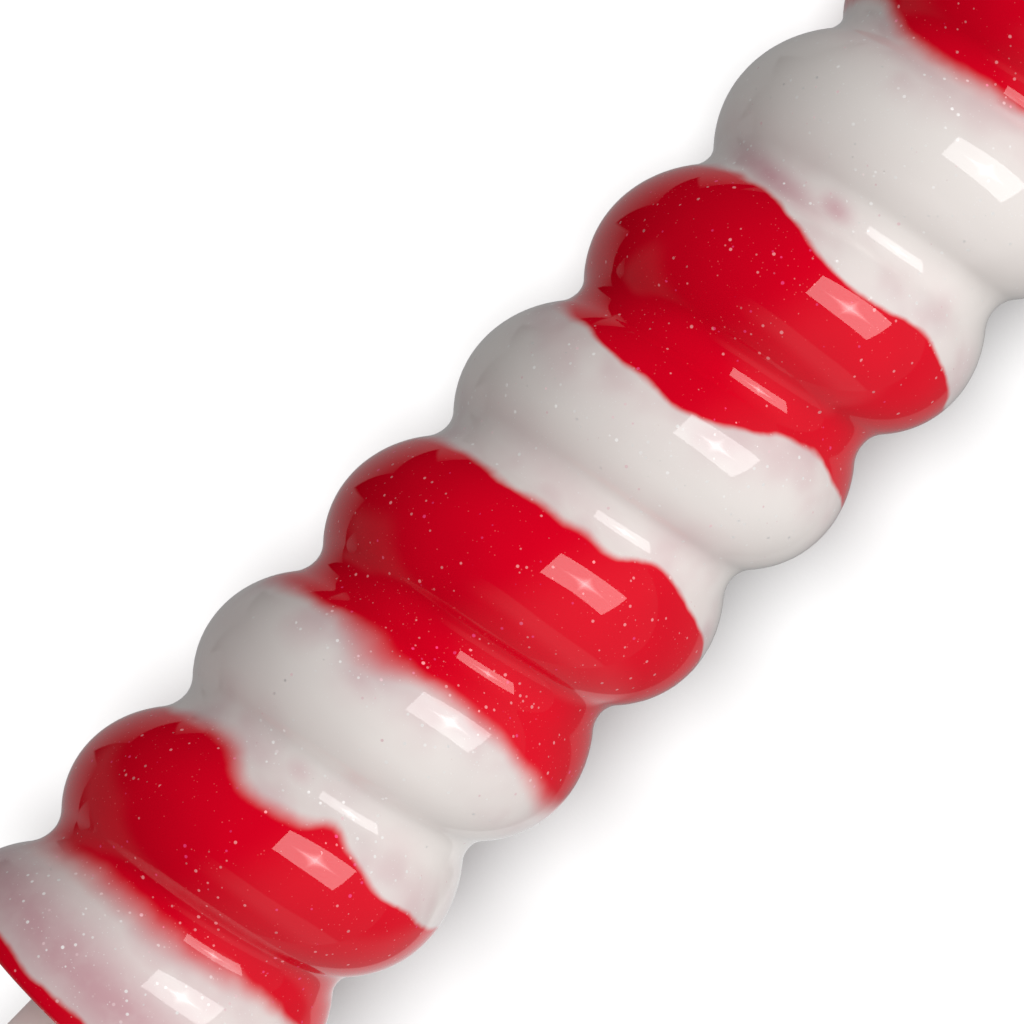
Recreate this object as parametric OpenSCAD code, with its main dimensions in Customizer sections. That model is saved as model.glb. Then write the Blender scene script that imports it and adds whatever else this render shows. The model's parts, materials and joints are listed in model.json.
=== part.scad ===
// Cheer pom pom on a stick: a cast spiral grip, a plastic stick and a head of fringed film.
// It lies as it is put down on a table: the fringe flattens under the head, and the grip's
// last lobe touches the table. Millimetres, +Z up, table at z = 0, head towards +X.

/* [Grip] */
// Diameter over the crests of the spiral
crest_d = 29; // [26:0.5:34]
// Axial distance from one turn of the groove to the next
pitch = 14.3; // [12:0.1:16]
// Number of turns along the grip
turns = 10; // [8:1:12]
// Radius of the rounded back of a lobe, in the plane of the axis
lobe_r = 8.3; // [8:0.1:9]
// Radius of the fillet at the bottom of the groove
groove_r = 2.6; // [1.5:0.1:3]
// How far the tilt of a lobe moves its crest towards the stick
lobe_lean = 0.3; // [0:0.1:0.5]

/* [Stick] */
// Outside diameter of the stick
stick_d = 8; // [6:0.5:9]
// Wall of the stick
stick_wall = 1.2; // [1:0.1:1.5]
// Length of the stick
stick_len = 305; // [290:1:330]

/* [Head] */
// Number of fringed sheets, red and white in turn
sheets = 12; // [8:2:12]
// Width of one sheet, which is the length wound round the stick
sheet_w = 400; // [300:10:420]
// Thickness of the film
film_t = 0.08; // [0.05:0.01:0.09]
// Length of the streamers
streamer_len = 100; // [80:1:110]
// Uncut band that is wound round the stick
header_len = 16; // [14:1:18]
// How far back the outermost streamers fold, as an angle from the stick's tip
fold_angle = 172; // [140:1:174]

/* [Pose] */
// Slope of the stick as the pom pom lies on a table
rest_tilt = 4.5; // [3.5:0.1:6]

/* [Hidden] */

$fn = 64;
crest_r = crest_d / 2;
stick_r = stick_d / 2;
grip_len = turns * pitch;

// The grip's mesh: the same number of steps in a turn and in a pitch, so that the groove
// runs along the diagonals of the mesh.
steps = 22;
groove_steps = 15;
groove_w = groove_steps * pitch / steps;
dome_len = pitch;

// Places along the stick, measured from the butt of the grip.
plug_flange_t = 1.5;
stick_start = 14;
bore_start = stick_start - plug_flange_t;
stick_end = stick_start + stick_len;
tip_free = 22;
mouth_w = stick_end - tip_free;
header_w = mouth_w - header_len;

// The lobe that touches the table, straight below the axis.
contact_w = groove_w + pitch / 2;
mouth_h = (mouth_w - contact_w) * sin(rest_tilt) + crest_r * cos(rest_tilt);

// Header rolls: each sheet adds its own cross-section of film round the one before.
function header_r(k) = sqrt(stick_r * stick_r + k * sheet_w * film_t / PI);
header_gap = 0.02;
roll_r = header_r(sheets);

// The fringe fans out from the mouth of the header. Equal steps in the cosine give each
// sheet the same share of the ball.
fringe_gap = 0.6;
fringe_reach = streamer_len - 4;
bend_len = 14.5;
bend_flare = 14;
curve_steps = 10;
function fringe_angle(k) = acos(1 - k / sheets * (1 - cos(fold_angle)));

tape_t = 0.45;
tape_len = 13;
tape_w = header_w + 0.8;
tape_r = roll_r + tape_t;
tie_t = 1.2;
tie_width = 3.6;
tie_inset = 2.2;

cap_wall = 1.2;
cap_len = 14;
collar_len = 8;
collar_flange_t = 2;

// Places the stick's own frame, with +Z from the grip's butt to the head, on the table.
module on_stick() {
    translate([0, 0, mouth_h])
        rotate([0, 90 - rest_tilt, 0])
            translate([0, 0, -mouth_w])
                children();
}

// ---- grip ----

// Distance from the axis of the spiral surface, where x is the axial distance from a crest.
function lobe_radius(x) =
    let (
        half = pitch / 2,
        centre = crest_r - lobe_r,
        fillet_centre = centre + sqrt(pow(lobe_r + groove_r, 2) - half * half),
        tangent = half * lobe_r / (lobe_r + groove_r)
    )
    abs(x) < tangent
        ? centre + sqrt(lobe_r * lobe_r - x * x)
        : fillet_centre - sqrt(groove_r * groove_r - pow(half - abs(x), 2));

// Axial distance from the nearest crest, for a place w along the grip at an angle round it.
function crest_offset(w, angle) =
    let (
        turn = (w - groove_w) / pitch - angle / 360,
        x = (turn - floor(turn) - 0.5) * pitch
    )
    x - lobe_lean * cos(180 * x / pitch);

function dome(w) = w >= dome_len ? 1 : sqrt(1 - pow((dome_len - w) / dome_len, 2));
function grip_radius(w, angle) = dome(w) * lobe_radius(crest_offset(w, angle));

module spiral_body() {
    rings = turns * steps;
    ring_points = [
        for (i = [1 : rings], j = [0 : steps - 1])
            let (w = i * pitch / steps, angle = j * 360 / steps, r = grip_radius(w, angle))
            [r * cos(angle), r * sin(angle), w]
    ];
    butt = len(ring_points);
    base = butt + 1;
    last = (rings - 1) * steps;
    function at(i, j) = i * steps + (j % steps);
    faces = concat(
        [for (j = [0 : steps - 1]) [butt, at(0, j), at(0, j + 1)]],
        [for (i = [0 : rings - 2], j = [0 : steps - 1]) [at(i, j), at(i + 1, j), at(i + 1, j + 1)]],
        [for (i = [0 : rings - 2], j = [0 : steps - 1]) [at(i, j), at(i + 1, j + 1), at(i, j + 1)]],
        [for (j = [0 : steps - 1]) [base, last + (j + 1) % steps, last + j]]
    );
    polyhedron(concat(ring_points, [[0, 0, 0], [0, 0, grip_len]]), faces, convexity = 12);
}

module grip() {
    color("crimson")
    on_stick()
        difference() {
            spiral_body();
            translate([0, 0, bore_start]) cylinder(h = grip_len, r = stick_r);
        }
}

// ---- stick ----

module stick() {
    color("gainsboro")
    on_stick()
        translate([0, 0, stick_start])
            difference() {
                cylinder(h = stick_len, r = stick_r);
                translate([0, 0, -1]) cylinder(h = stick_len + 2, r = stick_r - stick_wall);
            }
}

// Keeps the cast grip out of the bore of the stick.
module stick_plug() {
    plug_len = 9;
    color("white")
    on_stick()
        translate([0, 0, bore_start]) {
            cylinder(h = plug_flange_t, r = stick_r);
            cylinder(h = plug_flange_t + plug_len, r = stick_r - stick_wall);
        }
}

// Closes the tip of the stick inside the fringe, so that the headers can't slide off.
module tip_cap() {
    color("firebrick")
    on_stick()
        translate([0, 0, stick_end + cap_wall - cap_len])
            rotate_extrude()
                polygon([
                    [stick_r, 0], [stick_r + cap_wall, 0],
                    [stick_r + cap_wall, cap_len - 1.6], [stick_r + cap_wall - 0.8, cap_len - 0.4],
                    [stick_r - 1, cap_len], [0, cap_len],
                    [0, cap_len - cap_wall], [stick_r, cap_len - cap_wall]
                ]);
}

// Flanged ring below the header, which stops the head from sliding towards the grip.
module stop_collar() {
    hub_r = stick_r + 2.4;
    flange_r = roll_r - 0.4;
    color("white")
    on_stick()
        translate([0, 0, header_w - collar_len])
            rotate_extrude()
                polygon([
                    [stick_r, 0], [hub_r - 0.8, 0], [hub_r, 0.8],
                    [hub_r, collar_len - collar_flange_t - 1],
                    [hub_r + 1, collar_len - collar_flange_t],
                    [flange_r - 0.5, collar_len - collar_flange_t],
                    [flange_r, collar_len - collar_flange_t + 0.5],
                    [flange_r, collar_len - 0.1], [stick_r, collar_len - 0.1]
                ]);
}

// ---- fringed sheets ----

// A point on the bent line between two sheets, in the plane of the axis, from the mouth of
// the header at t = 0 to the tips of the streamers at t = 1. The sheets further out bend
// over the cable ties, so they flare more.
function fringe_line(k, start_r, angle, t) =
    let (
        a = pow(1 - t, 2),
        b = 2 * t * (1 - t),
        c = t * t,
        bend_r = start_r + bend_flare * k / sheets
    )
    [a * start_r + b * bend_r + c * fringe_reach * sin(angle), b * bend_len + c * fringe_reach * cos(angle)];

// One sheet: the rolled header, and the space that its streamers fill. The bend starts
// from the header, and the space stops half the gap short of the sheet on either side.
module fringed_sheet(k) {
    inner_r = header_r(k - 1) + (k == 1 ? 0 : header_gap);
    outer_r = header_r(k) - header_gap;
    gap_angle = fringe_gap / 2 / fringe_reach * 180 / PI;
    inner_angle = k == 1 ? 0 : fringe_angle(k - 1) + gap_angle;
    outer_angle = fringe_angle(k) - gap_angle;
    cap_r = stick_r + cap_wall + 0.3;
    cap_end = tip_free + cap_wall + 0.4;
    inner_line = k == 1
        ? [[inner_r, 0], [inner_r, tip_free + cap_wall - cap_len - 0.3],
           [cap_r, tip_free + cap_wall - cap_len - 0.3], [cap_r, cap_end], [0, cap_end]]
        : [for (i = [0 : curve_steps - 1]) fringe_line(k - 1, inner_r, inner_angle, i / curve_steps)];
    tips = [
        for (i = [0 : 3])
            let (angle = inner_angle + (outer_angle - inner_angle) * i / 3)
            [fringe_reach * sin(angle), fringe_reach * cos(angle)]
    ];
    outer_line = [for (i = [curve_steps - 1 : -1 : 0]) fringe_line(k, outer_r, outer_angle, i / curve_steps)];
    color(k % 2 == 1 ? "red" : "white")
    difference() {
        on_stick()
            translate([0, 0, mouth_w])
                rotate_extrude()
                    polygon(concat(
                        [[inner_r, -header_len]], inner_line, tips, outer_line,
                        [[outer_r, -header_len]]
                    ));
        table_below();
    }
}

// Everything under the table, where the fringe is pressed flat.
module table_below() {
    size = 4 * fringe_reach;
    translate([-size / 2, -size / 2, -size]) cube(size);
}

// ---- binding ----

module binding_tape() {
    color("red")
    on_stick()
        translate([0, 0, tape_w])
            difference() {
                cylinder(h = tape_len, r = tape_r);
                translate([0, 0, -1]) cylinder(h = tape_len + 2, r = roll_r);
            }
}

// A cable tie pulled tight round the tape: strap, ratchet head and the stub of the tail.
module cable_tie(w, turn) {
    head = [4.6, 6, 5.2];
    stub = [1.2, 3, tie_width - 0.8];
    color("whitesmoke")
    on_stick()
        translate([0, 0, w])
            rotate([0, 0, turn]) {
                difference() {
                    union() {
                        cylinder(h = tie_width, r = tape_r + tie_t);
                        translate([tape_r, -head[1] / 2, (tie_width - head[2]) / 2]) cube(head);
                        translate([tape_r + 1.6, head[1] / 2 - 0.5, 0.4]) cube(stub);
                    }
                    translate([0, 0, -head[2]]) cylinder(h = 3 * head[2], r = tape_r);
                }
            }
}

grip();
stick();
stick_plug();
stop_collar();
tip_cap();
fringed_sheet(1);  // red_fringe_1
fringed_sheet(2);  // white_fringe_1
fringed_sheet(3);  // red_fringe_2
fringed_sheet(4);  // white_fringe_2
fringed_sheet(5);  // red_fringe_3
fringed_sheet(6);  // white_fringe_3
fringed_sheet(7);  // red_fringe_4
fringed_sheet(8);  // white_fringe_4
fringed_sheet(9);  // red_fringe_5
fringed_sheet(10);  // white_fringe_5
fringed_sheet(11);  // red_fringe_6
fringed_sheet(12);  // white_fringe_6
binding_tape();
cable_tie(tape_w + tie_inset - tie_width / 2, 200);  // lower_cable_tie
cable_tie(tape_w + tape_len - tie_inset - tie_width / 2, 140);  // upper_cable_tie
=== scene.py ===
"""Visual model of a stick pom pom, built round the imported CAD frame.

Shapes are worked out in millimetres and become metres as each mesh is made. The stick's
own frame has +Z from the butt of the grip to the head, -X up and +Y to the left of
somebody who looks from the butt to the head."""

import json
import math

import bpy
import numpy as np
from mathutils import Matrix, Vector


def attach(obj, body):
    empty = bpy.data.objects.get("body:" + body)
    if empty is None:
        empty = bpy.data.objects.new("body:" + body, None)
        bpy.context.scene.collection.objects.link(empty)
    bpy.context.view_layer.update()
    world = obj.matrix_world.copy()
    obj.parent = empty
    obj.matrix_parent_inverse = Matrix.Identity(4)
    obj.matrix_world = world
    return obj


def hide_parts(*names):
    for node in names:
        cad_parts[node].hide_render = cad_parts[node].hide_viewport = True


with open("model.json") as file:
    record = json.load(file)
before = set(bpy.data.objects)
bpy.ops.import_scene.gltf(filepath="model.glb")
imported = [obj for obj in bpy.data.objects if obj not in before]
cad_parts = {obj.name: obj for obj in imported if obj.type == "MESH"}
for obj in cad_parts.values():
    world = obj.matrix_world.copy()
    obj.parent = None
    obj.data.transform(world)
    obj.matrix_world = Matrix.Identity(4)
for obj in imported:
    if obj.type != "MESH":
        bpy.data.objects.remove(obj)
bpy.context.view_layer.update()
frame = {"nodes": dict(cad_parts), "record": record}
NODES = frame["nodes"]
RECORD = frame["record"]
MM = 0.001

# ---- sizes shared with the CAD model, in millimetres ----

CREST_R = 14.5
PITCH = 14.3
GRIP_LEN = 143.0
LOBE_R = 8.3
GROOVE_R = 2.6
LOBE_LEAN = 0.3
GROOVE_W = 15 * PITCH / 22
DOME_LEN = PITCH
STICK_R = 4.0
BORE_START = 12.5
MOUTH_W = 297.0
HEADER_LEN = 16.0
SHEETS = 12
SHEET_W = 400.0
FILM_T = 0.08
DRAWN_FILM_T = 0.07  # a little less, so that turns of the roll do not touch
STREAMER_LEN = 100.0
FOLD_ANGLE = math.radians(172)
TAPE_T = 0.45
TAPE_W = MOUTH_W - HEADER_LEN + 0.8
TAPE_LEN = 13.0
TIE_T = 1.2
TIE_WIDTH = 3.6
TIE_INSET = 2.2


def header_r(k):
    return math.sqrt(STICK_R**2 + k * SHEET_W * FILM_T / math.pi)


TAPE_R = header_r(SHEETS) + TAPE_T

# ---- the stick's own frame, from the grip's mount ----

grip_mount = next(m for m in RECORD["mounts"] if m["name"] == "hand_grip")
TO_HEAD = -Vector(grip_mount["axis"]).normalized()
BUTT = Vector(grip_mount["pos_m"]) - TO_HEAD * GRIP_LEN / 2 * MM
SIDE = Vector((0, 1, 0))
DOWN = SIDE.cross(TO_HEAD)
STICK_FRAME = Matrix.Translation(BUTT) @ Matrix((DOWN, SIDE, TO_HEAD)).transposed().to_4x4()


# ---- view and studio light; directions are (towards the head, left, up from the stick) ----

VIEW_W = 93.1  # place along the grip at the middle of the picture
VIEW_DISTANCE = 0.298
WORLD_LIGHT = 0.46
KEY_TOWARDS = (-0.44, 0.437, 0.815)
KEY_ACROSS = (0.08, 0.87, -0.48)
KEY_DISTANCE = 0.6
KEY_SIZE = (0.51, 0.285)
KEY_POWER = 1.80
FILL_TOWARDS = (-0.1, 0.64, 0.77)
FILL_LIGHT = 0.86
HEAD_FILL_TOWARDS = (-0.5, -0.6, 0.62)
HEAD_FILL_LIGHT = 1.2
FLOOR_LIGHT = 5.6
FLOOR_LIFT = 0.11  # the floor's own light to the camera, so that it comes out white
FLOOR_BOUNCE = 0.22  # the light that it throws on matt surfaces
GAP_X = -0.1895  # place of a dark notch in the floor's reflection, in metres
LENS = 137.5
LOOK_AT = (0, -3.7, VIEW_W)
VIEW_TURN = 45.7


# ---- small helpers ----


def new_object(name, points_mm, faces, matrix=None, smooth=True):
    mesh = bpy.data.meshes.new(name)
    mesh.from_pydata((np.asarray(points_mm) * MM).tolist(), [], faces)
    mesh.polygons.foreach_set("use_smooth", [smooth] * len(mesh.polygons))
    mesh.update()
    piece = bpy.data.objects.new(name, mesh)
    bpy.context.scene.collection.objects.link(piece)
    if matrix is not None:
        piece.matrix_world = matrix
    return piece


def add_attribute(piece, name, values):
    layer = piece.data.attributes.new(name, "FLOAT", "POINT")
    layer.data.foreach_set("value", np.ascontiguousarray(values, dtype=np.float32))


def grid_faces(rows, columns, closed=True, first=0):
    """Quads of a grid of rows * columns points, closed round if asked."""
    faces = []
    for i in range(rows - 1):
        for j in range(columns if closed else columns - 1):
            k = (j + 1) % columns
            a = first + i * columns
            b = a + columns
            faces.append((a + j, a + k, b + k, b + j))
    return faces


def ripple(x, y, seed, waves=7):
    """A smooth irregular pattern between about -1 and 1, the same on every run."""
    rng = np.random.default_rng(seed)
    total = np.zeros(np.broadcast(x, y).shape)
    for _ in range(waves):
        turn = rng.uniform(0, 2 * math.pi)
        rate = rng.uniform(0.5, 1.6)
        start = rng.uniform(0, 2 * math.pi)
        total += np.sin(rate * (x * math.cos(turn) + y * math.sin(turn)) + start)
    return total / math.sqrt(waves)


# ---- materials ----

RED_RESIN = (0.74, 0.0008, 0.016)
WHITE_RESIN = (0.825, 0.77, 0.738)


class Nodes:
    """A node tree of a material, a lamp or the world, with short calls to add to it."""

    def __init__(self, tree):
        self.tree = tree

    def node(self, kind, **settings):
        made = self.tree.nodes.new(kind)
        for key, value in settings.items():
            setattr(made, key, value)
        return made

    def link(self, source, target):
        self.tree.links.new(source, target)

    def put(self, target, value):
        """Links value to a socket if it is one, or sets it."""
        if isinstance(value, bpy.types.NodeSocket):
            self.link(value, target)
        else:
            target.default_value = value

    def split(self, vector):
        """The three components of a vector socket."""
        made = self.node("ShaderNodeSeparateXYZ")
        self.link(vector, made.inputs[0])
        return made.outputs

    def math(self, operation, a, b=0.0, clamp=False):
        made = self.node("ShaderNodeMath", operation=operation, use_clamp=clamp)
        self.put(made.inputs[0], a)
        self.put(made.inputs[1], b)
        return made.outputs[0]

    def ramp(self, value, low, high, start=0.0, end=1.0, shape="SMOOTHSTEP"):
        made = self.node("ShaderNodeMapRange", interpolation_type=shape)
        self.put(made.inputs["Value"], value)
        self.put(made.inputs["From Min"], low)
        self.put(made.inputs["From Max"], high)
        self.put(made.inputs["To Min"], start)
        self.put(made.inputs["To Max"], end)
        return made.outputs["Result"]

    def choose(self, share, a, b):
        """Number a where share is 0, number b where it is 1."""
        rest = self.math("SUBTRACT", 1.0, share)
        return self.math("ADD", self.math("MULTIPLY", share, b), self.math("MULTIPLY", rest, a))


class Shader(Nodes):
    """A material made of one principled shader."""

    def __init__(self, name):
        self.material = bpy.data.materials.new(name)
        self.material.use_nodes = True
        super().__init__(self.material.node_tree)
        self.tree.nodes.clear()
        self.output = self.node("ShaderNodeOutputMaterial")
        self.principled = self.node("ShaderNodeBsdfPrincipled")
        self.link(self.principled.outputs[0], self.output.inputs["Surface"])

    def set(self, **values):
        for key, value in values.items():
            self.put(self.principled.inputs[key.replace("_", " ")], value)

    def place(self, stretch=(1, 1, 1)):
        """The object's own coordinates, in metres, stretched."""
        coordinates = self.node("ShaderNodeTexCoord")
        if stretch == (1, 1, 1):
            return coordinates.outputs["Object"]
        return self.vector("MULTIPLY", coordinates.outputs["Object"], stretch)

    def attribute(self, name):
        return self.node("ShaderNodeAttribute", attribute_name=name).outputs["Fac"]

    def vector(self, operation, a, b):
        made = self.node("ShaderNodeVectorMath", operation=operation)
        self.put(made.inputs[0], a)
        self.put(made.inputs[1], b)
        return made.outputs[0]

    def noise(self, size, detail=2.0, rough=0.5, stretch=(1, 1, 1)):
        """Noise from 0 to 1 whose features are about size millimetres."""
        made = self.node("ShaderNodeTexNoise")
        self.link(self.place(stretch), made.inputs["Vector"])
        made.inputs["Scale"].default_value = 1 / (size * MM)
        made.inputs["Detail"].default_value = detail
        made.inputs["Roughness"].default_value = rough
        return made.outputs["Fac"]

    def cells(self, size):
        """Random cells about size millimetres wide."""
        made = self.node("ShaderNodeTexVoronoi")
        self.link(self.place(), made.inputs["Vector"])
        made.inputs["Scale"].default_value = 1 / (size * MM)
        return made

    def mix(self, share, a, b):
        """Colour a where share is 0, colour b where it is 1."""
        made = self.node("ShaderNodeMix", data_type="RGBA")
        self.put(made.inputs["Factor"], share)
        self.put(made.inputs["A"], a if isinstance(a, bpy.types.NodeSocket) else (*a, 1))
        self.put(made.inputs["B"], b if isinstance(b, bpy.types.NodeSocket) else (*b, 1))
        return made.outputs["Result"]

    def bump(self, height, depth_mm, strength=1.0):
        made = self.node("ShaderNodeBump")
        self.link(height, made.inputs["Height"])
        made.inputs["Distance"].default_value = depth_mm * MM
        made.inputs["Strength"].default_value = strength
        return made.outputs["Normal"]


def flecks(s, size, share, biggest):
    """Round flecks in some of the cells of a 3-D pattern: a mask and random numbers."""
    cell = s.cells(size)
    parts = s.node("ShaderNodeSeparateColor")
    s.link(cell.outputs["Color"], parts.inputs[0])
    crowd = s.ramp(s.noise(9.0, 1.0), 0.35, 0.65, 1 - 0.4 * share, 1 - 1.4 * share)
    chosen = s.math("GREATER_THAN", parts.outputs[0], crowd)
    radius = s.math("MULTIPLY", s.math("ADD", parts.outputs[1], 0.15), biggest)
    inside = s.ramp(cell.outputs["Distance"], radius, s.math("MULTIPLY", radius, 0.7))
    return s.math("MULTIPLY", chosen, inside), cell.outputs["Color"], parts.outputs


def resin_material():
    """Red and off-white resin poured in turn, with fine glitter, under clear gloss."""
    s = Shader("cast_resin")
    pour = s.attribute("pour")
    wander = s.math("MULTIPLY", s.math("SUBTRACT", s.noise(5.0, 1.0), 0.5), 1.3)
    fray = s.math("MULTIPLY", s.math("SUBTRACT", s.noise(2.2, 2.0, 0.45), 0.5), 0.6)
    line = s.math("ADD", s.math("ADD", pour, wander), fray)
    blur = s.attribute("blur")
    red_share = s.ramp(line, s.math("MULTIPLY", blur, -1), blur)

    haze = s.ramp(line, -6.0, 0.0)
    haze_share = s.math("MULTIPLY", haze, s.ramp(s.noise(5.0, 2.0), 0.35, 0.7, 0.12, 0.5))
    patchy = s.ramp(s.noise(2.6, 3.0, 0.6), 0.3, 0.62, 0.84, 1.0)
    haze_share = s.math("MAXIMUM", haze_share, s.math("MULTIPLY", s.attribute("tint"), patchy))
    smoke = s.ramp(s.noise(9.0, 3.0, 0.55), 0.45, 0.8, 0.0, 0.5)
    cloudy = s.ramp(s.noise(16.0, 3.0), 0.3, 0.7)
    off_white = s.mix(cloudy, WHITE_RESIN, tuple(0.94 * c for c in WHITE_RESIN))
    off_white = s.mix(s.math("MULTIPLY", smoke, haze), off_white, (0.56, 0.49, 0.50))
    hazed = s.mix(haze_share, off_white, (0.60, 0.36, 0.39))
    deep = s.ramp(s.noise(11.0, 2.0), 0.3, 0.7)
    red = s.mix(deep, RED_RESIN, tuple(0.9 * c for c in RED_RESIN))
    resin = s.mix(red_share, hazed, red)

    flake, hue, pick = flecks(s, 0.62, 0.65, 0.23)
    dust = flecks(s, 0.30, 0.6, 0.20)[0]
    on_red = s.mix(s.ramp(pick[2], 0.72, 0.76), (1.0, 0.34, 0.36), (0.95, 0.06, 0.22))
    on_white = s.mix(s.ramp(pick[2], 0.82, 0.86), (0.90, 0.875, 0.86), (0.80, 0.58, 0.60))
    tint = s.mix(red_share, on_white, on_red)
    dust_tint = s.mix(red_share, (0.84, 0.80, 0.79), (0.92, 0.11, 0.12))
    with_dust = s.mix(s.math("MULTIPLY", dust, 0.6), resin, dust_tint)
    shine = s.math("MULTIPLY", flake, s.ramp(pick[1], 0, 1, 0.25, 0.9, "LINEAR"))
    with_flakes = s.mix(shine, with_dust, tint)

    tilt = s.vector("SUBTRACT", hue, (0.5, 0.5, 0.5))
    scaled = s.node("ShaderNodeVectorMath", operation="SCALE")
    s.link(tilt, scaled.inputs[0])
    s.link(s.math("MULTIPLY", flake, 0.7), scaled.inputs["Scale"])
    geometry = s.node("ShaderNodeNewGeometry")
    turned = s.vector("ADD", geometry.outputs["Normal"], scaled.outputs[0])
    facing = s.node("ShaderNodeVectorMath", operation="NORMALIZE")
    s.link(turned, facing.inputs[0])

    skin = s.bump(s.noise(4.2, 0.0), 0.045)
    s.set(Base_Color=with_flakes, Normal=facing.outputs[0])
    s.set(Metallic=s.math("MULTIPLY", flake, s.ramp(red_share, 0, 1, 0.06, 0.12)))
    s.set(Roughness=s.ramp(flake, 0, 1, 0.45, 0.2, "LINEAR"))
    s.set(Coat_Weight=1.0, Coat_Roughness=0.02, Coat_IOR=1.55, Coat_Normal=skin)
    s.set(Specular_IOR_Level=0.0)
    return s.material


def moulded_material(name, colour, shade, roughness, grain_mm, depth_mm, stretch=(1, 1, 1)):
    """Plastic with a faint grain, cloudy colour and uneven gloss."""
    s = Shader(name)
    cloudy = s.ramp(s.noise(9.0, 3.0, stretch=stretch), 0.3, 0.7)
    specks = s.ramp(s.noise(0.35, 2.0), 0.68, 0.8, 0.0, 0.25)
    base = s.mix(specks, s.mix(cloudy, colour, shade), tuple(0.7 * c for c in shade))
    grain = s.noise(grain_mm, 3.0, 0.6, stretch)
    s.set(Base_Color=base, Roughness=s.ramp(grain, 0.2, 0.8, roughness - 0.07, roughness + 0.1))
    s.set(Normal=s.bump(grain, depth_mm))
    return s.material


def film_material(name, colour, shade, gloss):
    """Thin creased film. Each streamer has its own tone, scratches run along it, and a painted
    sheen lies along the crease lines.
    """
    s = Shader(name)
    tone = s.attribute("tone")
    along = s.attribute("along")
    across = s.attribute("across")
    flat = s.node("ShaderNodeCombineXYZ")
    s.link(s.math("MULTIPLY", along, 0.12), flat.inputs[0])
    s.link(s.math("ADD", across, s.math("MULTIPLY", tone, 97.0)), flat.inputs[1])
    streaks = s.node("ShaderNodeTexNoise")
    s.link(flat.outputs[0], streaks.inputs["Vector"])
    streaks.inputs["Scale"].default_value = 2.2
    streaks.inputs["Detail"].default_value = 4.0
    rumple = s.node("ShaderNodeTexVoronoi", feature="DISTANCE_TO_EDGE")
    s.link(flat.outputs[0], rumple.inputs["Vector"])
    rumple.inputs["Scale"].default_value = 1.15
    rumple_edge = s.ramp(rumple.outputs["Distance"], 0.0, 0.16)
    base = s.mix(s.ramp(tone, 0, 1), colour, shade)
    base = s.mix(s.math("MULTIPLY", s.ramp(streaks.outputs["Fac"], 0.4, 0.75), 0.14), base, shade)
    # Towards the crease lines the colour goes a little towards the gloss colour: a painted sheen.
    with_painted_sheen = s.mix(s.ramp(rumple.outputs["Distance"], 0.05, 0.0, 0.0, 0.10), base, gloss)
    height = s.math("ADD", rumple_edge, s.math("MULTIPLY", streaks.outputs["Fac"], 0.2))
    s.set(Base_Color=with_painted_sheen, Roughness=s.ramp(streaks.outputs["Fac"], 0.3, 0.75, 0.17, 0.30))
    s.set(Normal=s.bump(height, 0.03, 0.6), IOR=1.53)
    return s.material


def tape_material():
    """Stretched vinyl: fine calender lines round the roll and a few pale stress marks."""
    s = Shader("red_tape")
    lines = s.noise(0.5, 2.0, 0.5, (0.12, 0.12, 1.0))
    stress = s.ramp(s.noise(2.4, 3.0, 0.65, (1.0, 1.0, 0.35)), 0.6, 0.8)
    base = s.mix(s.math("MULTIPLY", stress, 0.35), (0.42, 0.004, 0.012), (0.62, 0.10, 0.12))
    s.set(Base_Color=base, Roughness=s.ramp(lines, 0.2, 0.8, 0.24, 0.42))
    s.set(Normal=s.bump(lines, 0.05))
    return s.material


def nylon_material():
    """Natural nylon: milky, with a fine satin grain."""
    s = Shader("tie_nylon")
    milky = s.ramp(s.noise(2.8, 3.0), 0.3, 0.7)
    grain = s.noise(0.22, 2.0, 0.6)
    s.set(Base_Color=s.mix(milky, (0.66, 0.655, 0.63), (0.58, 0.575, 0.55)))
    s.set(Roughness=s.ramp(grain, 0.2, 0.8, 0.32, 0.5), Normal=s.bump(grain, 0.02))
    s.set(Subsurface_Weight=0.25, Subsurface_Radius=(0.8, 0.75, 0.7), Subsurface_Scale=0.001)
    return s.material


def mirrored_floor(s):
    """What reflections see of the floor: pale on the left, brightest by the grip, and on
    the right a strip with a dark notch every two turns and a low glow towards the head."""
    x, left, _ = s.split(s.place())
    along = s.math("SUBTRACT", x, GAP_X)
    away = s.math("ABSOLUTE", left)
    slope = s.math("DIVIDE", along, s.math("MAXIMUM", s.math("SUBTRACT", away, 0.015), 0.005))
    left_side = s.math("ADD", 0.15, s.ramp(slope, 0.0, 0.5, 0.0, 0.22))
    left_side = s.math("MULTIPLY", left_side, s.ramp(away, 0.036, 0.039, 2.1, 1.0))
    strip = s.ramp(away, 0.026, 0.085, 0.34, 0.0)
    spacing = 2 * PITCH * MM
    turns = s.math("DIVIDE", along, spacing)
    across = s.math("SUBTRACT", s.math("FRACT", s.math("ADD", turns, 0.5)), 0.5)
    across = s.math("MULTIPLY", s.math("ABSOLUTE", across), spacing)
    notch_half = s.math("MULTIPLY", s.math("SUBTRACT", away, 0.038), 0.42)
    notch = s.ramp(s.math("SUBTRACT", across, notch_half), -0.0005, 0.0015)
    head_glow = s.math("MULTIPLY", s.ramp(slope, 0.2, 0.7, 0.0, 0.13),
                       s.ramp(away, 0.03, 0.07))
    right_side = s.math("MAXIMUM", s.math("MULTIPLY", strip, notch), head_glow)
    return s.choose(s.ramp(left, -0.012, 0.008), right_side, left_side)


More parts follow.
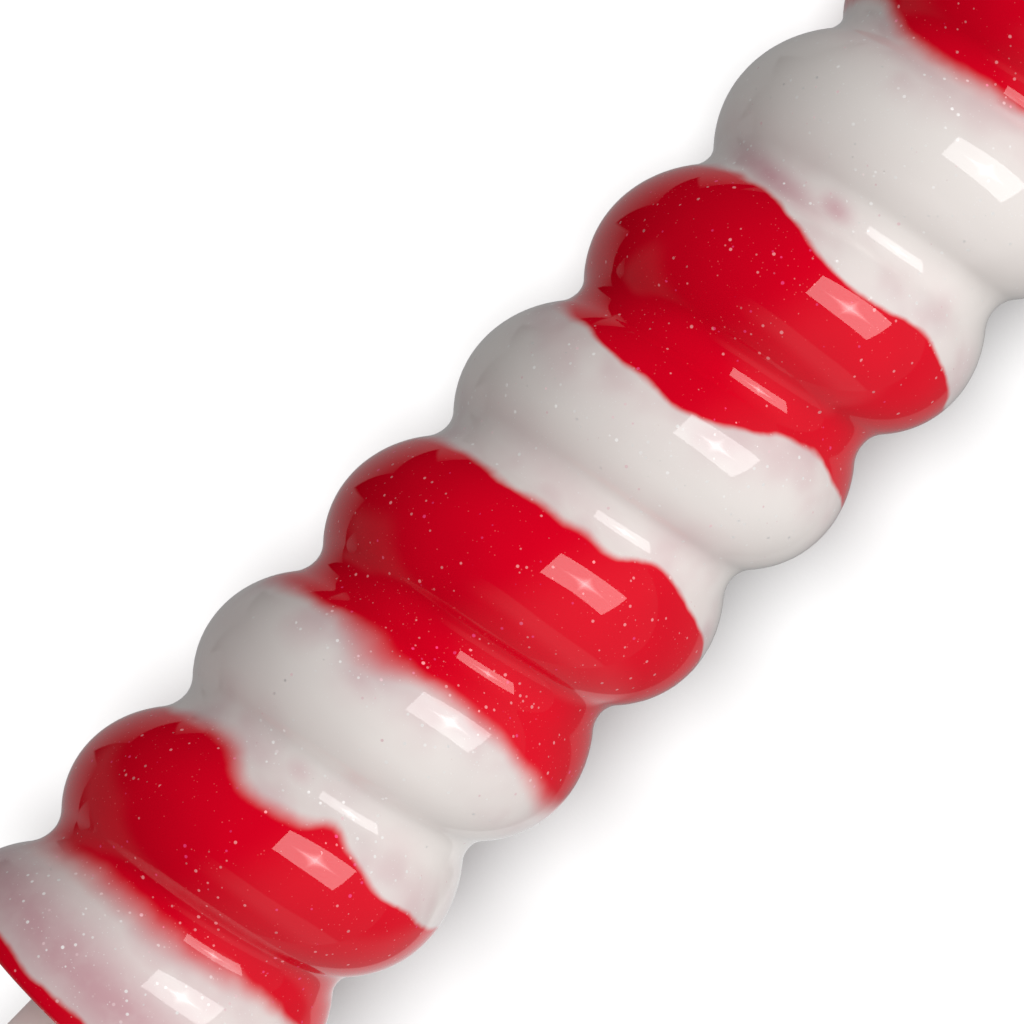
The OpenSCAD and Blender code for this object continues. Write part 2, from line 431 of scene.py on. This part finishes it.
def floor_material():
    """White paper to the camera, and pale grey in the light that it throws on the object."""
    s = Shader("floor_paper")
    fibres = s.noise(1.6, 3.0, 0.6)
    cloud = s.ramp(s.noise(300.0, 2.0), 0.3, 0.7)
    s.set(Base_Color=s.mix(cloud, (0.46, 0.46, 0.46), (0.44, 0.44, 0.44)), Roughness=0.85)
    s.set(Normal=s.bump(fibres, 0.03), Specular_IOR_Level=0.2)
    s.set(Emission_Color=(1, 1, 1, 1), Emission_Strength=FLOOR_LIFT)

    ray = s.node("ShaderNodeLightPath")
    thrown = s.node("ShaderNodeEmission")
    level = s.choose(ray.outputs["Is Glossy Ray"], FLOOR_BOUNCE, mirrored_floor(s))
    s.link(level, thrown.inputs["Strength"])
    chosen = s.node("ShaderNodeMixShader")
    s.link(ray.outputs["Is Camera Ray"], chosen.inputs[0])
    s.link(thrown.outputs[0], chosen.inputs[1])
    s.link(s.principled.outputs[0], chosen.inputs[2])
    s.link(chosen.outputs[0], s.output.inputs["Surface"])
    s.material.cycles.emission_sampling = "NONE"
    return s.material


# ---- grip ----

# Lines between the pours: place along the grip in millimetres at twelve bearings round it,
# 30 degrees apart, from 150 degrees left of the top, over the top, to the underside. Red is
# below the first line and above every second one.
BEARINGS = 12
FIRST_BEARING = -150
POURS = (
    (15, 14.5, 14.5, 15.5, 16, 15.5, 15, 14, 14.5, 15, 15.5, 15),
    (31, 32, 31, 30.5, 30, 29.5, 29, 29.5, 30, 31, 31.5, 31),
    (49, 48.5, 47.5, 46.6, 47.9, 46.5, 45, 45.5, 46, 47, 48, 49),
    (66, 66, 65.5, 64.1, 63.1, 64.2, 63.2, 63.7, 65, 66, 66.5, 66),
    (77, 77.5, 77.5, 79.4, 79.7, 79.2, 75.5, 75, 75.5, 76, 76.5, 77),
    (95, 94.5, 94, 93.1, 91.7, 90.8, 88.6, 89.1, 92, 93, 94, 95),
    (109, 109.5, 109.5, 108.8, 107.1, 106.3, 105.7, 107, 107.4, 108, 108.5, 109),
    (122.5, 122.5, 122.3, 121.1, 120.6, 119.8, 119.3, 120, 119.5, 121, 122, 122.5),
    (136, 136.3, 136, 135.1, 133.7, 132.8, 132, 131.8, 132.5, 134, 135, 136),
    (141.8, 141.7, 141.7, 141.6, 141.6, 141.6, 141.6, 141.6, 141.7, 141.8, 141.8, 141.8),
)
# Bulges on a line: the line's place in POURS, bearing, half width in degrees, millimetres.
BULGES = (
    (3, 45, 13, -0.9),
    (4, 44, 12, -0.6),
    (5, 17, 9, 0.5),
    (6, -14, 10, 1.0),
    (7, -38, 13, -1.2),
    (7, -10, 12, 1.1),
    (7, 14, 8, -1.15),
    (7, 38, 14, 0.5),
)
# Half the width of the blend at a line, and the soft spots where it is wider: the line's
# place in POURS, bearing, half width in degrees, and how much wider in millimetres.
BLEND = 0.28
SOFT_SPOTS = (
    (0, 0, 60, 0.4),
    (1, -60, 60, 0.8),
    (2, -70, 30, 0.5),
    (2, -15, 35, 0.7),
    (3, -70, 25, 0.6),
    (4, -75, 20, 0.9),
    (5, -75, 30, 0.7),
    (5, 0, 20, 0.25),
    (6, -65, 22, 1.2),
    (6, -18, 14, 1.8),
    (6, 16, 20, 0.6),
    (6, 65, 30, 1.3),
    (7, -40, 36, 0.9),
    (7, 8, 18, 0.35),
    (8, -60, 35, 1.3),
    (8, 0, 45, 1.2),
)


# Where red has tinted the white: place along the grip, half width in millimetres, bearing,
# half width in degrees, and how strongly.
TINTS = (
    (139.0, 3.2, 0, 150, 1.0),
    (62.0, 1.2, -39, 28, 1.0),
    (60.7, 0.9, -11, 7, 0.95),
    (117.6, 0.9, -8, 6, 0.45),
    (109.4, 1.3, -13, 8, 0.60),
    (89.0, 1.6, -15, 40, 0.30),
    (48.6, 1.3, -25, 32, 0.50),
    (113.0, 4.0, -90, 45, 0.20),
)


def pour_line(values, bearing):
    """A closed smooth curve through the values round the grip, at bearings in degrees."""
    x = (bearing - FIRST_BEARING) / (360 / BEARINGS)
    i = np.floor(x).astype(int)
    t = x - i
    p = [np.asarray(values, float)[(i + n) % BEARINGS] for n in (-1, 0, 1, 2)]
    a = -p[0] + 3 * p[1] - 3 * p[2] + p[3]
    b = 2 * p[0] - 5 * p[1] + 4 * p[2] - p[3]
    return p[1] + t * ((p[2] - p[0]) + t * (b + t * a)) / 2


def lobe_radius(x):
    """Distance from the axis of the spiral surface, x from the crest along the axis."""
    half = PITCH / 2
    centre = CREST_R - LOBE_R
    fillet_centre = centre + math.sqrt((LOBE_R + GROOVE_R) ** 2 - half**2)
    tangent = half * LOBE_R / (LOBE_R + GROOVE_R)
    x = np.abs(x)
    back = centre + np.sqrt(np.maximum(LOBE_R**2 - x**2, 0))
    groove = fillet_centre - np.sqrt(np.maximum(GROOVE_R**2 - (half - x) ** 2, 0))
    return np.where(x < tangent, back, groove)


def grip_radius(w, angle):
    turn = (w - GROOVE_W) / PITCH - angle / (2 * math.pi)
    x = (turn - np.floor(turn) - 0.5) * PITCH
    x = x - LOBE_LEAN * np.cos(math.pi * x / PITCH)
    dome = np.sqrt(1 - (np.clip(DOME_LEN - w, 0, DOME_LEN) / DOME_LEN) ** 2)
    hand_made = 0.035 * ripple(w / 3.5, 3 * np.sin(angle), 5) * dome
    return dome * lobe_radius(x) + hand_made


def build_grip():
    columns = 128
    edge = 0.25
    angle = np.arange(columns) * 2 * math.pi / columns
    steps = np.linspace(0, math.pi / 2, 46)[1:]
    rows = list(DOME_LEN * (1 - np.cos(steps)))
    rows += list(np.linspace(DOME_LEN, GRIP_LEN - edge, 582)[1:])
    points = []
    for w in rows:
        r = grip_radius(np.full(columns, w), angle)
        points.append(np.stack([r * np.cos(angle), r * np.sin(angle), np.full(columns, w)], 1))
    # The rim, the flat base, the meniscus against the stick and the bore.
    rim = grip_radius(np.full(columns, GRIP_LEN), angle)
    for turn in (30, 60, 90):
        t = math.radians(turn)
        r = rim - edge * (1 - math.cos(t))
        w = GRIP_LEN - edge * (1 - math.sin(t))
        points.append(np.stack([r * np.cos(angle), r * np.sin(angle), np.full(columns, w)], 1))
    inner = STICK_R + 0.02
    for share, rise in ((0.08, -0.02), (0.25, -0.1), (0.5, -0.14), (0.75, -0.1), (0.88, 0.0),
                        (0.95, 0.14), (1.0, 0.42)):
        r = (rim - edge) * (1 - share) + inner * share
        w = GRIP_LEN + rise + 0.03 * ripple(r, 3 * np.sin(angle), 8) * (1 - share)
        points.append(np.stack([r * np.cos(angle), r * np.sin(angle), w], 1))
    for w in (GRIP_LEN - 2, BORE_START):
        circle = np.stack([inner * np.cos(angle), inner * np.sin(angle), np.full(columns, w)], 1)
        points.append(circle)
    n_rows = len(points)
    points = np.concatenate(points)
    faces = grid_faces(n_rows, columns)
    butt, bottom = len(points), len(points) + 1
    last = (n_rows - 1) * columns
    faces += [(butt, (j + 1) % columns, j) for j in range(columns)]
    faces += [(bottom, last + j, last + (j + 1) % columns) for j in range(columns)]
    points = np.concatenate([points, [[0, 0, 0], [0, 0, BORE_START]]])

    piece = new_object("grip_casting", points, faces, STICK_FRAME)
    bearing = (180 - np.degrees(np.arctan2(points[:, 1], points[:, 0])) + 180) % 360 - 180
    w = points[:, 2]
    blend = np.zeros(len(points))
    nearest = np.full(len(points), 1e9)
    lines = [pour_line(values, bearing) for values in POURS]
    for n, place, half, size in BULGES:
        lines[n] += size * np.exp(-(((bearing - place) / half) ** 2))
    red = w < lines[0]
    for n in range(1, len(lines), 2):
        upper = lines[n + 1] if n + 1 < len(lines) else np.full(len(w), 1e9)
        red |= (w > lines[n]) & (w < upper)
    for n, line in enumerate(lines):
        away = np.abs(w - line)
        soft = np.full(len(w), BLEND)
        for spot, place, half, extra in SOFT_SPOTS:
            if spot == n:
                soft += extra * np.exp(-(((bearing - place) / half) ** 2))
        blend = np.where(away < nearest, soft, blend)
        nearest = np.minimum(nearest, away)
    tint = np.zeros(len(w))
    for place, half, centre, width, strength in TINTS:
        far = ((w - place) / half) ** 2 + ((bearing - centre) / width) ** 2
        tint = np.maximum(tint, strength * np.exp(-far))
    add_attribute(piece, "pour", np.where(red, nearest, -nearest))
    add_attribute(piece, "blur", blend)
    add_attribute(piece, "tint", tint)
    piece.data.materials.append(resin_material())
    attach(piece, "root")
    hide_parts("grip")
    return piece


# ---- streamer head ----

STREAMERS = 80
CUT_W = SHEET_W / STREAMERS
HEADER_ROWS = 3
STEPS = 24
FRINGE_REACH = 96.0
WORLD_UP = np.array([0.0, 0.0, 1.0])


def unit(v):
    return v / np.maximum(np.linalg.norm(v, axis=-1, keepdims=True), 1e-9)


def rotate(v, axis, angle):
    """Rows of v turned about rows of axis, which are unit vectors, by angles."""
    c, s = np.cos(angle)[:, None], np.sin(angle)[:, None]
    dot = np.sum(v * axis, axis=1, keepdims=True)
    return v * c + np.cross(axis, v) * s + axis * dot * (1 - c)


def fringe_angle(k):
    return math.acos(1 - k / SHEETS * (1 - math.cos(FOLD_ANGLE)))


def clearance_r(z):
    """How far from the stick's axis the streamers keep, z from the mouth of the header."""
    r = np.full(z.shape, STICK_R + 0.5)
    r = np.where((z > 6) & (z < 25), STICK_R + 2.0, r)
    return np.where((z < 0.5) & (z > -26), 18.0, r)


def build_sheet(k, name, material):
    """One fringed sheet: 80 strips side by side, uncut in the header, loose beyond it."""
    rng = np.random.default_rng(400 + k)
    axis, down, side = (np.array(v) for v in (TO_HEAD, DOWN, SIDE))
    mouth = np.array(BUTT) / MM + axis * MOUTH_W
    r0 = header_r(k - 1)
    slit = 0.06
    u = np.arange(STREAMERS)[:, None] * CUT_W + np.array([slit, CUT_W / 2, CUT_W - slit])
    radius = np.sqrt(r0**2 + u * FILM_T / math.pi)
    turn = 2 * math.pi * (radius - r0) / FILM_T
    out = np.cos(turn)[..., None] * down + np.sin(turn)[..., None] * side
    rows = [
        mouth + axis * z + out * radius[..., None]
        for z in np.linspace(-HEADER_LEN, 0, HEADER_ROWS)
    ]

    # Every streamer starts along the stick and bends over its own width.
    tangent = np.repeat(axis[None], STREAMERS, 0)
    normal = out[:, 1].copy()
    place = rows[-1][:, 1].copy()
    length = STREAMER_LEN - rng.uniform(0, 1.5, STREAMERS)
    step = length / STEPS
    share = u[:, 1] / SHEET_W
    inner, outer = fringe_angle(k - 1), fringe_angle(k)
    aim = inner + (outer - inner) * share + rng.normal(0, 0.12, STREAMERS)
    aim = np.clip(aim, 0.06 + 0.25 * rng.random(STREAMERS), FOLD_ANGLE)
    bend_len = 12 + 9 * aim / math.pi + rng.uniform(-2, 4, STREAMERS)
    twist_rate = rng.normal(0, 0.016, STREAMERS)
    droop = rng.uniform(0.10, 0.42, STREAMERS)
    curl = rng.normal(0, 0.004, STREAMERS)
    low = 0.15 + np.minimum(rng.exponential(1.6, STREAMERS), 9)
    gutter = rng.choice([-1, 1], STREAMERS) * rng.uniform(0.12, 0.5, STREAMERS)
    root_gutter = radius[:, 1] - np.sqrt(np.maximum(radius[:, 1] ** 2 - (CUT_W / 2) ** 2, 0))
    for n in range(1, STEPS + 1):
        s = n * step
        width = np.cross(tangent, normal)
        # Bend away from the stick, then small creases and a steady curl.
        t = np.clip(s / bend_len, 0, 1)
        before = np.clip((s - step) / bend_len, 0, 1)
        bend = aim * ((t * t * (3 - 2 * t)) - (before * before * (3 - 2 * before)))
        free = s > bend_len * 0.8
        crease = rng.normal(0, 0.08, STREAMERS)
        crease += (rng.random(STREAMERS) < 0.08) * rng.normal(0, 0.42, STREAMERS)
        bend = bend + np.where(free, crease + curl * step, 0)
        tangent = rotate(tangent, width, -bend)
        normal = rotate(normal, width, -bend)
        swing = np.where(free, twist_rate * step + rng.normal(0, 0.05, STREAMERS), 0)
        normal = rotate(normal, tangent, swing)
        # Weight pulls the loose length down.
        level = np.sqrt(np.maximum(1 - tangent[:, 2] ** 2, 0))
        pull = np.where(free, droop * step / STREAMER_LEN * (0.4 + s / STREAMER_LEN), 0) * level
        tangent = unit(tangent - WORLD_UP * pull[:, None])
        # The ball's outer edge turns streamers along it.
        away = place - mouth
        distance = np.linalg.norm(away, axis=1)
        radial = unit(away)
        outward = np.sum(tangent * radial, axis=1)
        past = (distance > FRINGE_REACH - 5) & (outward > 0)
        tangent = unit(tangent - radial * np.where(past, outward * 0.6, 0)[:, None])
        # Settle on to the table, or on to the streamers that lie there.
        height = place[:, 2] - low
        slowest = -np.clip(height / 11, 0, 1)
        sinking = tangent[:, 2] < slowest
        flat = tangent.copy()
        flat[:, 2] = 0
        stray = rng.normal(0, 9, (STREAMERS, 3)) * [1, 1, 0]
        spread = unit(away * np.array([1.0, 1.0, 0.0]) + stray)
        flat = unit(flat + spread * 0.35)
        settled = flat * np.sqrt(1 - slowest**2)[:, None] + WORLD_UP * slowest[:, None]
        tangent = np.where(sinking[:, None], settled, tangent)
        lying = np.clip(1 - height / 12, 0, 1) * 0.5
        upright = np.where(normal[:, 2] >= 0, 1.0, -1.0)
        normal = normal + WORLD_UP * (upright * lying)[:, None]
        tangent = unit(tangent)
        normal = unit(normal - tangent * np.sum(normal * tangent, axis=1, keepdims=True))
        # Keep off the stick, the cap and the binding.
        ahead = place + tangent * step[:, None]
        along = (ahead - mouth) @ axis
        radial = (ahead - mouth) - along[:, None] * axis
        gap = np.linalg.norm(radial, axis=1)
        need = np.where((along > 0.5) | (s > bend_len), clearance_r(along), 0)
        push = np.maximum(need - gap, 0)
        ahead = ahead + unit(radial) * push[:, None]
        ahead[:, 2] = np.maximum(ahead[:, 2], low)
        tangent = unit(ahead - place)
        normal = unit(normal - tangent * np.sum(normal * tangent, axis=1, keepdims=True))
        place = place + tangent * step[:, None]
        width = np.cross(tangent, normal)
        blend = np.clip(s / 18, 0, 1)
        sag = (root_gutter * (1 - blend) + gutter * blend)[:, None]
        half = np.sqrt(np.maximum((CUT_W / 2 - slit) ** 2 - sag**2, 0.5))
        left = place - width * -half - normal * sag
        right = place + width * -half - normal * sag
        left[:, 2] = np.maximum(left[:, 2], 0.1)
        right[:, 2] = np.maximum(right[:, 2], 0.1)
        rows.append(np.stack([right, place, left], 1))

    points = np.stack(rows).reshape(len(rows), -1, 3)
    columns = points.shape[1]
    faces = []
    for i in range(len(rows) - 1):
        for j in range(columns - 1):
            if i >= HEADER_ROWS - 1 and j % 3 == 2:
                continue
            a = i * columns + j
            faces.append((a, a + 1, a + columns + 1, a + columns))
    piece = new_object(name, points.reshape(-1, 3), faces)
    tone = np.repeat(rng.random(STREAMERS), 3)
    add_attribute(piece, "tone", np.tile(tone, len(rows)))
    before = np.linspace(-HEADER_LEN, 0, HEADER_ROWS)
    after = np.arange(1, STEPS + 1) * STREAMER_LEN / STEPS
    along = np.concatenate([before, after])
    add_attribute(piece, "along", np.repeat(along, columns))
    across = np.tile([0.0, CUT_W / 2, CUT_W], STREAMERS)
    add_attribute(piece, "across", np.tile(across, len(rows)))
    film = piece.modifiers.new("film", "SOLIDIFY")
    film.thickness = DRAWN_FILM_T * MM
    film.offset = 0
    piece.data.materials.append(material)
    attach(piece, "root")
    return piece


def build_head():
    red = film_material("red_film", (0.66, 0.003, 0.014), (0.48, 0.001, 0.008),
                        (0.85, 0.25, 0.26))
    white = film_material("white_film", (0.88, 0.875, 0.86), (0.78, 0.775, 0.765),
                          (0.92, 0.92, 0.92))
    for k in range(1, SHEETS + 1):
        colour = "red" if k % 2 else "white"
        node = f"{colour}_fringe_{(k + 1) // 2}"
        piece = build_sheet(k, f"{node}_sheet", red if k % 2 else white)
        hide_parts(node)
        # The photograph's gloss shows no streamers.
        piece.visible_glossy = False


# ---- binding ----


def rounded_loop(width, height, corner, each=4):
    """Points of a rectangle with rounded corners, centred, counter-clockwise."""
    loop = []
    for cx, cy, start in ((1, 1, 0), (-1, 1, 90), (-1, -1, 180), (1, -1, 270)):
        for n in range(each):
            t = math.radians(start + 90 * n / (each - 1))
            loop.append((cx * (width / 2 - corner) + corner * math.cos(t),
                         cy * (height / 2 - corner) + corner * math.sin(t)))
    return np.array(loop)


def strip_mesh(sections):
    """Points and faces of a closed solid through equal loops of points."""
    count = len(sections[0])
    faces = grid_faces(len(sections), count)
    faces.append(tuple(range(count))[::-1])
    last = (len(sections) - 1) * count
    faces.append(tuple(range(last, last + count)))
    return np.concatenate(sections), faces


def build_tape(material):
    """Three turns of thin tape, one over the other, with its end lifting a little."""
    turns, each = 3, 96
    thick = TAPE_T / turns
    rng = np.random.default_rng(71)
    shifts = rng.uniform(-0.25, 0.25, 3 * turns + 2)
    loop = rounded_loop(thick * 0.92, TAPE_LEN - 0.6, thick * 0.3, 3)
    sections = []
    for n in range(turns * each + 1):
        t = n / each
        a = 2 * math.pi * t + 2.1
        lift = 0.35 * max(0, (t - turns + 0.05) / 0.05) ** 2
        r = TAPE_R - TAPE_T + thick * (t * (turns - 1) / turns + 0.5) + lift
        w = TAPE_W + TAPE_LEN / 2 + np.interp(3 * t, np.arange(len(shifts)), shifts)
        wave = 0.012 * math.sin(7 * a + 2 * t)
        radial = np.array([math.cos(a), math.sin(a), 0])
        sections.append(np.array([0, 0, w]) + radial * (r + wave + loop[:, :1])
                        + np.array([0, 0, 1]) * loop[:, 1:])
    points, faces = strip_mesh(sections)
    piece = new_object("binding_tape_roll", points, faces, STICK_FRAME)
    piece.data.materials.append(material)
    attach(piece, "root")
    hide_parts("binding_tape")


def build_tie(node, w, turn, material):
    """A nylon tie: a strap that leaves its head, goes round and comes out through it."""
    slot_x = TAPE_R + 2.0
    arc = np.radians(np.linspace(5, 334, 90))
    r = TAPE_R + TIE_T / 2 + 0.02
    path = np.stack([r * np.cos(arc), r * np.sin(arc)], 1)
    start, end = path[-1], np.array([slot_x, -1.8])
    t = np.linspace(0, 1, 9)[1:, None]
    lead = np.array([-math.sin(arc[-1]), math.cos(arc[-1])]) * 3.2
    climb = ((2 * t**3 - 3 * t**2 + 1) * start + (t**3 - 2 * t**2 + t) * lead
             + (-2 * t**3 + 3 * t**2) * end + (t**3 - t**2) * np.array([0, 3.6]))
    tail = np.stack([np.full(48, slot_x), np.linspace(-1.6, 5.3, 48)], 1)
    path = np.concatenate([path, climb, tail])
    sections = []
    for n, place in enumerate(path):
        ahead = path[min(n + 1, len(path) - 1)] - path[max(n - 1, 0)]
        ahead /= np.linalg.norm(ahead)
        outwards = np.array([ahead[1], -ahead[0]])
        loop = rounded_loop(TIE_T * 0.92, TIE_WIDTH - 0.1, 0.3)
        thin = loop[:, :1].copy()
        if place[1] > 2.6 and n > 90:
            tooth = (place[1] / 0.9) % 1.0
            thin[thin < 0] += 0.32 * tooth * (np.abs(loop[:, 1:][thin < 0]) < 1.3)
        flat = place + outwards * thin
        sections.append(np.concatenate([flat, w + loop[:, 1:]], axis=1))
    points, faces = strip_mesh(sections)

    # The head is a block with a slot through it and a pawl in the slot.
    length, depth, height = 6.0, 4.4, 5.2
    slot_w, slot_h = 1.75, 4.1
    centre_x = TAPE_R + 2.25
    outer = rounded_loop(depth, height, 0.6)
    inner = rounded_loop(slot_w, slot_h, 0.25)
    rings = []
    for loop, y, shrink in (
        (outer, -0.5, 0.30), (outer, -0.46, 0.08), (outer, -0.42, 0.0), (outer, 0.42, 0.0),
        (outer, 0.46, 0.08), (outer, 0.5, 0.30), (inner, 0.5, -0.25), (inner, 0.44, 0.0),
        (inner, -0.44, 0.0), (inner, -0.5, -0.25),
    ):
        across = np.array([depth, height] if loop is outer else [slot_w, slot_h])
        size = loop * (1 - 2 * shrink / across)
        x = centre_x + size[:, 0] + (slot_x - centre_x if loop is inner else 0)
        rings.append(np.stack([x, np.full(len(size), y * length), w + size[:, 1]], 1))
    first = len(points)
    count = len(outer)
    points = np.concatenate([points] + rings)
    faces += grid_faces(len(rings), count, first=first)
    last = first + (len(rings) - 1) * count
    faces += [(last + j, last + (j + 1) % count, first + (j + 1) % count, first + j)
              for j in range(count)]
    first = len(points)
    x0, x1 = slot_x + 0.55, slot_x + 1.0
    pawl = [(x1, -2.0), (x1, 2.2), (x0, 2.2), (x0 - 0.12, 1.6)]
    points = np.concatenate([points] + [
        np.array([[x, y, w + z] for x, y in pawl]) for z in (-1.1, 1.1)
    ])
    faces += [tuple(first + n for n in face) for face in
              ((0, 1, 2, 3), (7, 6, 5, 4), (0, 4, 5, 1), (1, 5, 6, 2), (2, 6, 7, 3), (3, 7, 4, 0))]

    turned = STICK_FRAME @ Matrix.Rotation(math.radians(turn), 4, "Z")
    piece = new_object(f"{node}_strap", points, faces, turned)
    piece.data.set_sharp_from_angle(angle=math.radians(50))
    piece.data.materials.append(material)
    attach(piece, "root")
    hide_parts(node)


def build_binding():
    build_tape(tape_material())
    nylon = nylon_material()
    build_tie("lower_cable_tie", TAPE_W + TIE_INSET, 200, nylon)
    build_tie("upper_cable_tie", TAPE_W + TAPE_LEN - TIE_INSET, 140, nylon)


# ---- CAD nodes that keep their shape ----


def dress_cad():
    white = moulded_material("white_plastic", (0.62, 0.62, 0.61), (0.56, 0.56, 0.555),
                             0.34, 0.5, 0.012)
    looks = {
        # The stick is off-white plastic. Its pinkish cast is painted red light thrown on it by the
        # grip, and it is painted lighter to make up for the shade that falls on it.
        "stick": moulded_material("stick_plastic", (0.88, 0.79, 0.755), (0.83, 0.74, 0.705),
                                  0.38, 0.4, 0.02, (1.0, 1.0, 0.04)),
        "stick_plug": white,
        "stop_collar": white,
        "tip_cap": moulded_material("red_plastic", (0.45, 0.005, 0.014), (0.38, 0.003, 0.01),
                                    0.33, 0.5, 0.012),
    }
    for node, material in looks.items():
        mesh = NODES[node].data
        if not mesh.materials:
            mesh.materials.append(material)
        for slot in NODES[node].material_slots:
            slot.material = material


# ---- studio ----


def lamp_object(light, position, turn):
    lamp = bpy.data.objects.new(light.name, light)
    bpy.context.scene.collection.objects.link(lamp)
    lamp.matrix_world = Matrix.Translation(position) @ turn.to_4x4()
    lamp.visible_camera = False
    return lamp


def link_light(lamp, pieces, state):
    """Makes a lamp light everything but the pieces (EXCLUDE), or only them (INCLUDE)."""
    group = bpy.data.collections.new(f"{lamp.name}_link")
    for n, piece in enumerate(pieces):
        group.objects.link(piece)
        group.collection_objects[n].light_linking.link_state = state
    lamp.light_linking.receiver_collection = group


def from_stick(direction):
    """A unit vector in the world, from (towards the head, left, up from the stick)."""
    head, left, up = direction
    return (TO_HEAD * head + SIDE * left - DOWN * up).normalized()


def softbox_glow(light):
    """Makes an area light brighter towards its middle, where the lamp shows as a star."""
    light.use_nodes = True
    s = Nodes(light.node_tree)
    place = s.split(s.node("ShaderNodeNewGeometry").outputs["Parametric"])
    away = [s.math("SQRT", s.math("ABSOLUTE", s.math("SUBTRACT", place[n], 0.5)))
            for n in (0, 1)]
    reach = s.math("POWER", s.math("ADD", *away), 2.0)
    star = s.math("SUBTRACT", 1.0, s.math("DIVIDE", reach, 0.55), clamp=True)
    glow = s.math("ADD", 0.86, s.math("MULTIPLY", s.math("POWER", star, 2.0), 2.4))
    s.link(glow, s.tree.nodes["Emission"].inputs["Strength"])


def room_light(tree):
    """White to the camera, even to matt surfaces, and in reflections a dim room: light on
    the key's side, dark above and on the other side but for a low glow towards the head."""
    s = Nodes(tree)
    to_head, left, up = s.split(s.node("ShaderNodeTexCoord").outputs["Generated"])
    lit_side = s.ramp(left, -0.2, 0.65, 0.0, 0.26)
    band = s.math("MULTIPLY", s.ramp(to_head, 0.38, 0.42), s.ramp(to_head, 0.78, 0.56))
    band = s.math("MULTIPLY", band, s.ramp(left, -0.3, 0.3, 0.0, 0.24))
    to_right = s.math("MAXIMUM", s.math("MULTIPLY", left, -1.0), 0.001)
    slope = s.math("DIVIDE", to_head, to_right)
    glow = s.math("MULTIPLY", s.ramp(slope, 0.2, 0.7, 0.0, 0.13), s.ramp(up, 0.3, -0.02))
    glow = s.math("MULTIPLY", glow, s.ramp(left, 0.0, -0.15))
    mirrored = s.math("ADD", s.math("ADD", lit_side, band), glow)
    ray = s.node("ShaderNodeLightPath")
    unseen = s.choose(ray.outputs["Is Glossy Ray"], WORLD_LIGHT, mirrored)
    strength = s.choose(ray.outputs["Is Camera Ray"], unseen, 1.0)
    background = tree.nodes["Background"]
    background.inputs["Color"].default_value = (1.0, 1.0, 1.0, 1.0)
    s.link(strength, background.inputs["Strength"])


def build_studio(grip):
    corners = [(-2500, -2500, 0), (2500, -2500, 0), (2500, 2500, 0), (-2500, 2500, 0)]
    floor = new_object("floor", corners, [(0, 1, 2, 3)], smooth=False)
    floor.data.materials.append(floor_material())

    world = bpy.data.worlds.new("studio")
    bpy.context.scene.world = world
    world.use_nodes = True
    room_light(world.node_tree)

    middle = STICK_FRAME @ Vector((0, 0, VIEW_W * MM))
    light = bpy.data.lights.new("key", "AREA")
    light.shape = "RECTANGLE"
    light.size, light.size_y = KEY_SIZE
    light.energy = KEY_POWER
    softbox_glow(light)
    towards = from_stick(KEY_TOWARDS)
    across = from_stick(KEY_ACROSS)
    across = (across - towards * across.dot(towards)).normalized()
    turn = Matrix((across, towards.cross(across), towards)).transposed()
    key = lamp_object(light, middle + towards * KEY_DISTANCE, turn)
    link_light(key, [floor], "EXCLUDE")

    lean = math.radians(5)
    above = (0, -math.sin(lean), math.cos(lean))
    for name, towards, power, spread, pieces, state in (
        ("fill", from_stick(FILL_TOWARDS), FILL_LIGHT, 70, [floor], "EXCLUDE"),
        ("head_fill", HEAD_FILL_TOWARDS, HEAD_FILL_LIGHT, 60, [floor, grip], "EXCLUDE"),
        ("floor_light", above, FLOOR_LIGHT, 28, [floor], "INCLUDE"),
    ):
        light = bpy.data.lights.new(name, "SUN")
        light.energy = power
        light.angle = math.radians(spread)
        turn = Vector(towards).to_track_quat("Z", "Y").to_matrix()
        lamp = lamp_object(light, Vector((0, 0, 1)), turn)
        lamp.visible_glossy = False
        link_light(lamp, pieces, state)

    view = bpy.context.scene.view_settings
    view.view_transform = "Standard"
    view.look = "None"


def build_camera():
    """Square to the stick, over the grip, with the head beyond the lower left corner."""
    data = bpy.data.cameras.new("camera")
    data.sensor_width = 36
    data.lens = LENS
    data.clip_start = 0.01
    camera = bpy.data.objects.new("camera", data)
    bpy.context.scene.collection.objects.link(camera)
    aim = STICK_FRAME @ (Vector(LOOK_AT) * MM)
    lean = math.radians(VIEW_TURN)
    right = from_stick((-math.cos(lean), math.sin(lean), 0))
    up = from_stick((-math.sin(lean), -math.cos(lean), 0))
    turn = Matrix((right, up, -DOWN)).transposed()
    camera.matrix_world = Matrix.Translation(aim - DOWN * VIEW_DISTANCE) @ turn.to_4x4()
    bpy.context.scene.camera = camera


build_camera()
casting = build_grip()
build_head()
build_binding()
dress_cad()
build_studio(casting)
